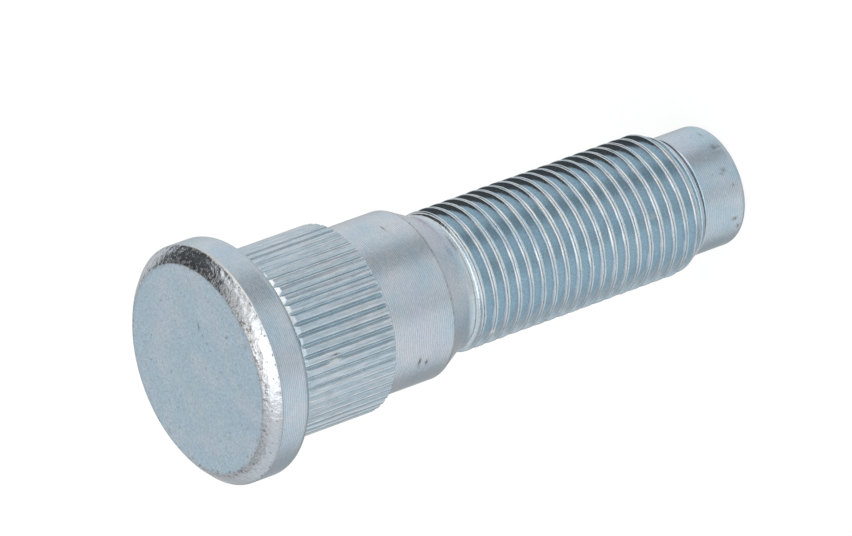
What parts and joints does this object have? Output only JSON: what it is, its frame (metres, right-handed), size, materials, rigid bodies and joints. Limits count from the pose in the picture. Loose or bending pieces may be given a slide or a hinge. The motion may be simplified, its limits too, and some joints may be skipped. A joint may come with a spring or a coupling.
{
  "type": "wheel stud bolt",
  "caption": "Pressed-in wheel stud with a round bevelled head, a serrated band, a plain shank, a right-hand fine thread and a dog point.",
  "frame": {"origin": "centre of the dog point's flat end face, on which the stud stands", "axes": "+Z along the stud's axis from the point to the head; X and Y are square to the axis, with the serrated band's first groove 1.2 degrees from +X"},
  "size_m": [0.0208, 0.0208, 0.0542],
  "materials": {
    "zinc_plated_steel": "satin"
  },
  "bodies": {
    "root": {"stud_bolt": "zinc_plated_steel"}
  },
  "joints": []
}
